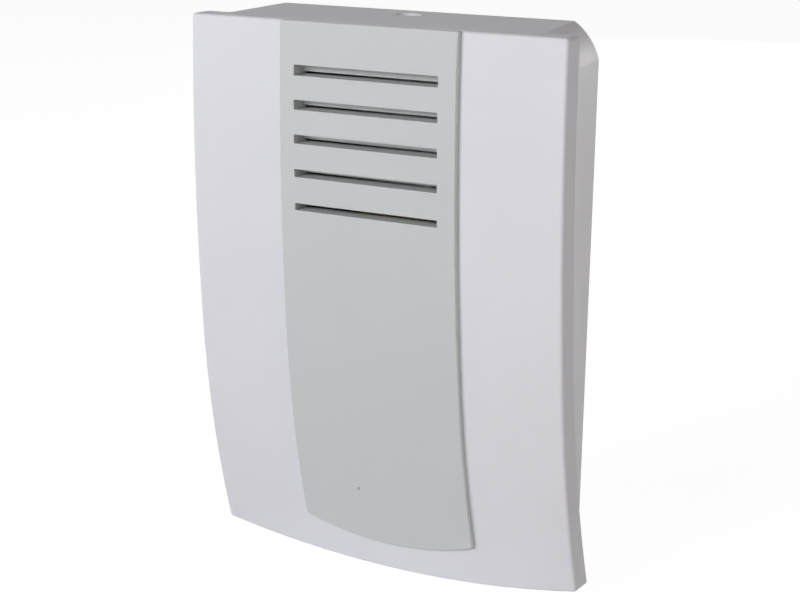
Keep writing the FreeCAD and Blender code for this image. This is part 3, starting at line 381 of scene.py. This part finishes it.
def moulded(name, colour, roughness, specks, grain=0.22 * MM, relief=0.004 * MM):
    """Injection-moulded plastic: spark-eroded grain, slight waves and darker specks of dust."""
    surface = Surface(name, colour, roughness)
    broad = surface.blended(surface.noise(38 * MM), scaled(colour, 0.985), scaled(colour, 1.015))
    dust = surface.cells(2.6 * MM)
    surface.paint(surface.blended(dust, broad, scaled(colour, 1.0 - specks), start=0.05, end=0.03))
    surface.vary_roughness(surface.noise(6 * MM, detail=3.0), roughness - 0.03, roughness + 0.03)
    surface.bump(surface.noise(30 * MM, detail=1.0), 0.02 * MM, strength=0.6)
    surface.bump(surface.noise(grain), relief)
    return surface


def white_plastic():
    return moulded("white_plastic", WHITE, 0.55, specks=0.05).material


def grey_plastic():
    """Satin paint on the panel, with very fine bright flakes."""
    surface = Surface("grey_plastic", GREY, 0.52)
    broad = surface.blended(surface.noise(30 * MM), scaled(GREY, 0.99), scaled(GREY, 1.01))
    surface.paint(surface.blended(surface.cells(0.16 * MM), broad, scaled(GREY, 1.06), start=0.3, end=0.1))
    surface.vary_roughness(surface.noise(9 * MM), 0.49, 0.55)
    surface.bump(surface.noise(28 * MM, detail=1.0), 0.02 * MM, strength=0.6)
    surface.bump(surface.noise(0.3 * MM), 0.003 * MM)
    return surface.material


def base_plastic():
    """The base plate's plastic, with the round marks of the mould's ejector pins."""
    surface = moulded("base_plastic", BASE, 0.5, specks=0.06, grain=0.35 * MM, relief=0.008 * MM)
    pins = [(side * x * MM, z * MM) for side in (-1, 1) for x, z in EJECTOR_PINS]
    surface.bump(surface.discs(pins, EJECTOR_PIN_RADIUS, EJECTOR_PIN_EDGE), EJECTOR_PIN_STEP)
    return surface.material


def terminal_plastic():
    return moulded("terminal_plastic", TERMINAL, 0.45, specks=0.05).material


def nylon():
    surface = Surface("nylon", (0.76, 0.74, 0.66), 0.42, Subsurface_Weight=0.12, Subsurface_Scale=0.6 * MM)
    surface.tint(surface.noise(5 * MM), (0.73, 0.71, 0.63), (0.78, 0.76, 0.69))
    surface.vary_roughness(surface.noise(2 * MM), 0.36, 0.48)
    surface.bump(surface.noise(0.25 * MM), 0.004 * MM)
    return surface.material


def bobbin_plastic():
    """Black glass-filled nylon, with the fibres just showing."""
    surface = Surface("bobbin_plastic", (0.03, 0.03, 0.032), 0.45)
    fibres = surface.noise(0.25 * MM, stretch=(1, 0.2, 0.2))
    surface.tint(fibres, (0.022, 0.022, 0.024), (0.055, 0.055, 0.057), start=0.45, end=0.75)
    surface.vary_roughness(surface.noise(1.5 * MM, detail=3.0), 0.38, 0.55)
    surface.bump(fibres, 0.006 * MM)
    return surface.material


def lead_insulation():
    surface = Surface("lead_insulation", (0.55, 0.035, 0.03), 0.34)
    surface.tint(surface.noise(6 * MM), (0.48, 0.028, 0.024), (0.60, 0.045, 0.036))
    surface.vary_roughness(surface.noise(1.5 * MM), 0.28, 0.42)
    surface.bump(surface.noise(0.5 * MM), 0.01 * MM, strength=0.6)
    return surface.material


# Coil materials and rubber
def coil_copper():
    """Enamelled copper wire: the enamel varies from orange to deep red-brown."""
    surface = Surface("coil_copper", (0.60, 0.22, 0.09), 0.26, metallic=1.0, Coat_Weight=0.5,
                      Coat_Roughness=0.12)
    surface.tint(surface.noise(3 * MM, detail=3.0, stretch=(4, 1, 1)), (0.50, 0.16, 0.06),
                 (0.68, 0.29, 0.13))
    surface.vary_roughness(surface.noise(1.2 * MM), 0.2, 0.34)
    return surface.material


def coil_tape():
    """Yellow polyester tape over the winding, whose turns press through a little."""
    surface = Surface("coil_tape", (0.75, 0.53, 0.05), 0.22, Coat_Weight=0.6, Coat_Roughness=0.08)
    surface.tint(surface.noise(4 * MM), (0.68, 0.46, 0.035), (0.80, 0.58, 0.07))
    surface.vary_roughness(surface.noise(2.5 * MM, detail=3.0), 0.16, 0.3)
    surface.bump(surface.bands(WIRE_PITCH, "X", wander=0.3), 0.012 * MM, strength=0.7)
    surface.bump(surface.noise(2.2 * MM), 0.05 * MM, strength=0.5)
    return surface.material


def soft_rubber():
    """Black rubber with a grey bloom on it."""
    surface = Surface("soft_rubber", (0.03, 0.03, 0.03), 0.7)
    surface.tint(surface.noise(2.5 * MM, detail=3.0), (0.022, 0.022, 0.022), (0.06, 0.06, 0.06))
    surface.vary_roughness(surface.noise(1.2 * MM), 0.6, 0.85)
    surface.bump(surface.noise(0.35 * MM, detail=3.0), 0.015 * MM)
    return surface.material


# Metals
def plated_steel():
    """Zinc plating, from bluish to straw, with small crystals in it."""
    surface = Surface("plated_steel", (0.62, 0.63, 0.64), 0.3, metallic=1.0)
    surface.tint(surface.noise(6 * MM, detail=3.0), (0.58, 0.60, 0.64), (0.68, 0.66, 0.58))
    surface.vary_roughness(surface.noise(1.4 * MM, detail=4.0), 0.24, 0.42)
    surface.bump(surface.cells(0.5 * MM), 0.006 * MM, strength=0.3)
    return surface.material


def tone_steel():
    """Ground steel bars: fine lines run along the bar, over a slow change of tone."""
    surface = Surface("tone_steel", (0.60, 0.60, 0.59), 0.3, metallic=1.0, Anisotropic=0.4)
    lines = surface.noise(0.12 * MM, detail=3.0, stretch=(1, 1, 0.02))
    surface.tint(surface.noise(14 * MM, detail=3.0), (0.54, 0.545, 0.55), (0.63, 0.625, 0.61))
    surface.vary_roughness(lines, 0.24, 0.4)
    surface.bump(lines, 0.006 * MM, strength=0.7)
    return surface.material


def plunger_steel():
    """Turned steel rod, with the tool's fine rings."""
    surface = Surface("plunger_steel", (0.55, 0.55, 0.54), 0.25, metallic=1.0)
    surface.tint(surface.noise(5 * MM), (0.50, 0.50, 0.50), (0.58, 0.58, 0.57))
    surface.vary_roughness(surface.noise(1.0 * MM), 0.2, 0.32)
    surface.bump(surface.bands(0.22 * MM, "X"), 0.005 * MM, strength=0.8)
    return surface.material


def spring_steel():
    surface = Surface("spring_steel", (0.50, 0.50, 0.50), 0.25, metallic=1.0)
    surface.tint(surface.noise(2 * MM), (0.42, 0.42, 0.43), (0.56, 0.56, 0.56))
    surface.vary_roughness(surface.noise(0.6 * MM, detail=3.0), 0.2, 0.36)
    return surface.material


def brass():
    """Brass with a light brown tarnish in patches."""
    surface = Surface("brass", (0.76, 0.55, 0.24), 0.3, metallic=1.0)
    surface.tint(surface.noise(2.2 * MM, detail=3.0), (0.62, 0.43, 0.17), (0.80, 0.60, 0.28))
    surface.vary_roughness(surface.noise(1.1 * MM, detail=3.0), 0.24, 0.42)
    surface.bump(surface.noise(0.2 * MM, stretch=(1, 1, 0.1)), 0.004 * MM, strength=0.6)
    return surface.material


def solder():
    surface = Surface("solder", (0.66, 0.67, 0.68), 0.24, metallic=1.0)
    surface.tint(surface.noise(0.8 * MM), (0.56, 0.57, 0.58), (0.72, 0.73, 0.74))
    surface.vary_roughness(surface.noise(0.5 * MM), 0.16, 0.34)
    surface.bump(surface.noise(0.5 * MM), 0.02 * MM, strength=0.5)
    return surface.material


def make_materials():
    """One finished material for each material slot of the record, and one for solder."""
    return {
        "white_plastic": white_plastic(),
        "grey_plastic": grey_plastic(),
        "base_plastic": base_plastic(),
        "nylon": nylon(),
        "bobbin_plastic": bobbin_plastic(),
        "coil_copper": coil_copper(),
        "coil_tape": coil_tape(),
        "plated_steel": plated_steel(),
        "tone_steel": tone_steel(),
        "plunger_steel": plunger_steel(),
        "spring_steel": spring_steel(),
        "brass": brass(),
        "soft_rubber": soft_rubber(),
        "terminal_plastic": terminal_plastic(),
        "lead_insulation": lead_insulation(),
        "solder": solder(),
    }


def dress_nodes(materials):
    for row in frame["record"]["subparts"]:
        mesh = nodes[row["node"]].data
        mesh.materials.clear()
        mesh.materials.append(materials[row["material_slot"]])


# Mesh helpers
TUBE_END_SHARE = 0.5


def add_piece(name, points, faces, material, body=None):
    """A smooth mesh piece that rides on a body, when one is given."""
    mesh = bpy.data.meshes.new(name)
    mesh.from_pydata([tuple(p) for p in points], [], faces)
    mesh.validate()
    mesh.materials.append(material)
    for polygon in mesh.polygons:
        polygon.use_smooth = True
    piece = bpy.data.objects.new(name, mesh)
    bpy.context.scene.collection.objects.link(piece)
    if body:
        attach(piece, body)
    return piece


def round_x(axis, x, radius, turn):
    """Point at x, radius away from an axis that runs along X."""
    return Vector((x, axis.y + radius * math.cos(turn), axis.z + radius * math.sin(turn)))


def round_z(axis, z, radius, turn):
    """Point at z, radius away from an axis that runs along Z."""
    return Vector((axis.x + radius * math.cos(turn), axis.y + radius * math.sin(turn), z))


def tube(line, radius, sides):
    """Points and faces of a round tube along a line of points, with a low cone on each end."""
    line = [Vector(p) for p in line]
    count = len(line)
    headings = []
    for n in range(count):
        ahead = line[min(n + 1, count - 1)] - line[max(n - 1, 0)]
        headings.append(ahead.normalized())
    side = headings[0].orthogonal().normalized()
    points = []
    for n in range(count):
        side = (side - headings[n] * side.dot(headings[n])).normalized()
        across = headings[n].cross(side)
        for k in range(sides):
            turn = 2 * math.pi * k / sides
            points.append(line[n] + (side * math.cos(turn) + across * math.sin(turn)) * radius)
    faces = []
    for n in range(count - 1):
        for k in range(sides):
            after = (k + 1) % sides
            faces.append((n * sides + k, n * sides + after, (n + 1) * sides + after, (n + 1) * sides + k))
    for n, way in ((0, -1), (count - 1, 1)):
        tip = len(points)
        points.append(line[n] + headings[n] * radius * TUBE_END_SHARE * way)
        for k in range(sides):
            pair = (n * sides + k, n * sides + (k + 1) % sides)
            faces.append((*pair[::way], tip))
    return points, faces


# Winding and its tape, fitted over their solids. Each ridge of wire has WIRE_SAMPLES points across it
WIRE_PITCH = 0.31 * MM
WIRE_SAMPLES = 4
WINDING_DEPTH = 3.3 * MM
WINDING_SIDES = 72
TAPE_THICKNESS = 0.2 * MM
TAPE_LAYER = 0.07 * MM
TAPE_EDGE = 0.25 * MM
TAPE_EDGE_SHARE = 0.6
TAPE_SIDES = 96
TAPE_OVERLAP = 0.06
TAPE_START = math.radians(200)


def coil_axis():
    low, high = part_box("coil_winding")
    return (low + high) / 2


def make_winding(materials):
    """The copper winding: fine ridges that run round it in one helix."""
    low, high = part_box("coil_winding")
    axis = coil_axis()
    outer = (high.z - low.z) / 2
    inner = outer - WINDING_DEPTH
    ridge = WIRE_PITCH / 2
    turns = int((high.x - low.x) / WIRE_PITCH)
    count = turns * WIRE_SAMPLES
    points = []
    for k in range(WINDING_SIDES):
        share = k / WINDING_SIDES
        for n in range(count + 1):
            crest = abs(math.sin(math.pi * (n / WIRE_SAMPLES + share)))
            x = low.x + (high.x - low.x) * n / count
            points.append(round_x(axis, x, outer - ridge * (1.0 - crest), 2 * math.pi * share))
    first_inner = len(points)
    for k in range(WINDING_SIDES):
        for x in (low.x, high.x):
            points.append(round_x(axis, x, inner, 2 * math.pi * k / WINDING_SIDES))
    row = count + 1
    faces = []
    for k in range(WINDING_SIDES):
        here = k * row
        after = ((k + 1) % WINDING_SIDES) * row
        for n in range(count):
            faces.append((here + n, after + n, after + n + 1, here + n + 1))
    for k in range(WINDING_SIDES):
        here = k * row
        after = ((k + 1) % WINDING_SIDES) * row
        here_low = first_inner + 2 * k
        after_low = first_inner + 2 * ((k + 1) % WINDING_SIDES)
        faces.append((here, here_low, after_low, after))
        faces.append((here + count, after + count, after_low + 1, here_low + 1))
        faces.append((here_low, here_low + 1, after_low + 1, after_low))
    piece = add_piece("winding_wire", points, faces, materials["coil_copper"], "base")
    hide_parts("coil_winding")


def make_tape(materials):
    """Tape wrapped a little more than once round, so that its end lies over its start."""
    low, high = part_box("winding_tape")
    axis = (low + high) / 2
    outer = (high.z - low.z) / 2
    inner = outer - TAPE_THICKNESS
    shoulder = inner + TAPE_LAYER * TAPE_EDGE_SHARE
    top = inner + TAPE_LAYER
    profile = [(low.x, inner), (low.x, shoulder), (low.x + TAPE_EDGE, top),
               (high.x - TAPE_EDGE, top), (high.x, shoulder), (high.x, inner)]
    row = len(profile)
    points = []
    for k in range(TAPE_SIDES + 1):
        share = k / TAPE_SIDES
        turn = TAPE_START + 2 * math.pi * (1.0 + TAPE_OVERLAP) * share
        lift = (outer - inner - TAPE_LAYER) * share
        points += [round_x(axis, x, radius + lift, turn) for x, radius in profile]
    faces = []
    for k in range(TAPE_SIDES):
        for n in range(row - 1):
            here = k * row + n
            faces.append((here, here + row, here + row + 1, here + 1))
        faces.append((k * row + row - 1, (k + 1) * row + row - 1, (k + 1) * row, k * row))
    faces.append(tuple(range(row)))
    faces.append(tuple(TAPE_SIDES * row + n for n in reversed(range(row))))
    piece = add_piece("tape_wrap", points, faces, materials["coil_tape"], "base")
    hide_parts("winding_tape")


# Return spring. Its ease is how much its open turns crowd towards its ends
SPRING_WIRE = 0.6 * MM
SPRING_RADIUS = 5.5 * MM
SPRING_TURNS = 7
SPRING_CLOSED_TURNS = 0.8
SPRING_CLOSED_PITCH = SPRING_WIRE * 1.02
SPRING_SEAT_GAP = 0.05 * MM
SPRING_EASE = 0.25
SPRING_STEPS = 28
SPRING_SIDES = 10


def make_spring(materials):
    """Compression spring with most of a turn closed at each end."""
    cap_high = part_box("spring_cap")[1]
    yoke_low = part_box("solenoid_yoke")[0]
    axis = coil_axis()
    seat_ear = yoke_low.x - SPRING_WIRE / 2 - SPRING_SEAT_GAP
    seat_cap = cap_high.x + SPRING_WIRE / 2 + SPRING_SEAT_GAP
    open_span = (seat_ear - seat_cap) - 2 * SPRING_CLOSED_TURNS * SPRING_CLOSED_PITCH
    total = SPRING_TURNS + 2 * SPRING_CLOSED_TURNS
    steps = int(total * SPRING_STEPS)
    line = []
    for n in range(steps + 1):
        turns = total * n / steps
        near = min(turns, SPRING_CLOSED_TURNS) * SPRING_CLOSED_PITCH
        far = max(0.0, turns - SPRING_TURNS - SPRING_CLOSED_TURNS) * SPRING_CLOSED_PITCH
        share = min(max(turns - SPRING_CLOSED_TURNS, 0.0), SPRING_TURNS) / SPRING_TURNS
        eased = share - math.sin(2 * math.pi * share) / (2 * math.pi) * SPRING_EASE
        x = seat_ear - near - far - open_span * eased
        line.append(round_x(axis, x, SPRING_RADIUS, 2 * math.pi * turns))
    points, faces = tube(line, SPRING_WIRE / 2, SPRING_SIDES)
    piece = add_piece("spring_coil", points, faces, materials["spring_steel"])
    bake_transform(piece)
    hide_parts("return_spring")


# Route of the right coil lead in millimetres, from the solder pin to its terminal: how far right,
# how far out from the wall, and height. The left lead mirrors it
LEAD_ROUTE = ((16.3, 9.0, 5.7), (16.3, 9.0, -6.63), (15.15, 8.95, -22.659), (13.65, 8.35, -39.921),
              (9.5, 7.75, -49.785), (9.5, 7.75, -55.95))
LEAD_DIAMETER = 1.5 * MM


def make_lead(name, side, materials):
    """Insulated lead as one smooth curve through its route."""
    route = [Vector((side * x, -out, z)) * MM for x, out, z in LEAD_ROUTE]
    data = bpy.data.curves.new(name, "CURVE")
    data.dimensions = "3D"
    spline = data.splines.new("NURBS")
    spline.points.add(len(route) - 1)
    for point, place in zip(spline.points, route):
        point.co = (*place, 1)
    spline.order_u = 3
    spline.use_endpoint_u = True
    spline.resolution_u = 10
    data.bevel_depth = LEAD_DIAMETER / 2
    data.bevel_resolution = 5
    data.use_fill_caps = True
    data.materials.append(materials["lead_insulation"])
    lead = bpy.data.objects.new(name, data)
    bpy.context.scene.collection.objects.link(lead)
    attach(lead, "base")
    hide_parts("coil_lead_left" if side < 0 else "coil_lead_right")
    return route


# Winding wire turned round each coil pin just under the bobbin, and the solder over it
WRAPS = 4
WRAP_STEPS = 14
WRAP_DROP = 0.5 * MM
WRAP_LENGTH = 1.4 * MM
WRAP_RADIUS = 0.62 * MM
WRAP_WIRE_RADIUS = 0.13 * MM
FINE_WIRE_SIDES = 6

# Outline of the solder in millimetres: its radius, and its height over the lead's end
SOLDER_OUTLINE = ((0.0, 2.6), (0.45, 2.5), (0.85, 2.0), (1.0, 1.3), (0.95, 0.6), (0.7, 0.1), (0.0, -0.1))
SOLDER_SIDES = 20
SOLDER_LUMPS = 3
SOLDER_LUMP_SHARE = 0.05


def make_pin_wraps(name, pin, materials):
    bobbin_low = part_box("coil_bobbin")[0]
    steps = WRAPS * WRAP_STEPS
    line = []
    for n in range(steps + 1):
        z = bobbin_low.z - WRAP_DROP - WRAP_LENGTH * n / steps
        line.append(round_z(pin, z, WRAP_RADIUS, 2 * math.pi * WRAPS * n / steps))
    points, faces = tube(line, WRAP_WIRE_RADIUS, FINE_WIRE_SIDES)
    add_piece("pin_wraps_" + name, points, faces, materials["coil_copper"], "base")


def make_pin_solder(name, side, pin, materials):
    """A slightly lumpy bead of solder, whose lumps differ between the two sides."""
    points = []
    for radius, height in SOLDER_OUTLINE:
        for k in range(SOLDER_SIDES):
            turn = 2 * math.pi * k / SOLDER_SIDES
            lump = 1.0 + SOLDER_LUMP_SHARE * math.sin(SOLDER_LUMPS * turn + 2 * height + side)
            points.append(round_z(pin, pin.z + height * MM, radius * lump * MM, turn))
    faces = []
    for n in range(len(SOLDER_OUTLINE) - 1):
        here = n * SOLDER_SIDES
        for k in range(SOLDER_SIDES):
            after = (k + 1) % SOLDER_SIDES
            faces.append((here + k, here + SOLDER_SIDES + k, here + SOLDER_SIDES + after, here + after))
    add_piece("pin_solder_" + name, points, faces, materials["solder"], "base")


# Bare strands between the insulation and the brass clamp: one straight, the others twisted round it
STRANDS = 7
STRAND_LENGTH = 3.2 * MM
STRAND_RADIUS = 0.16 * MM
STRAND_OFFSET = 0.33 * MM
STRAND_TWIST = 1.6
STRAND_STEPS = 12


def make_wire_ends(name, end, materials):
    for number in range(STRANDS):
        offset = 0.0 if number == 0 else STRAND_OFFSET
        phase = 2 * math.pi * number / (STRANDS - 1)
        line = []
        for n in range(STRAND_STEPS + 1):
            z = end.z - STRAND_LENGTH * n / STRAND_STEPS
            line.append(round_z(end, z, offset, phase + STRAND_TWIST * n / STRAND_STEPS))
        points, faces = tube(line, STRAND_RADIUS, FINE_WIRE_SIDES)
        add_piece("strand_%s_%d" % (name, number), points, faces, materials["coil_copper"],
                  "base")


def make_mechanism(materials):
    make_winding(materials)
    make_tape(materials)
    make_spring(materials)
    for name, side in (("left", -1), ("right", 1)):
        route = make_lead("lead_" + name, side, materials)
        make_pin_wraps(name, route[0], materials)
        make_pin_solder(name, side, route[0], materials)
        make_wire_ends(name, route[-1], materials)


make_camera()
make_studio()
materials = make_materials()
dress_nodes(materials)
make_mechanism(materials)
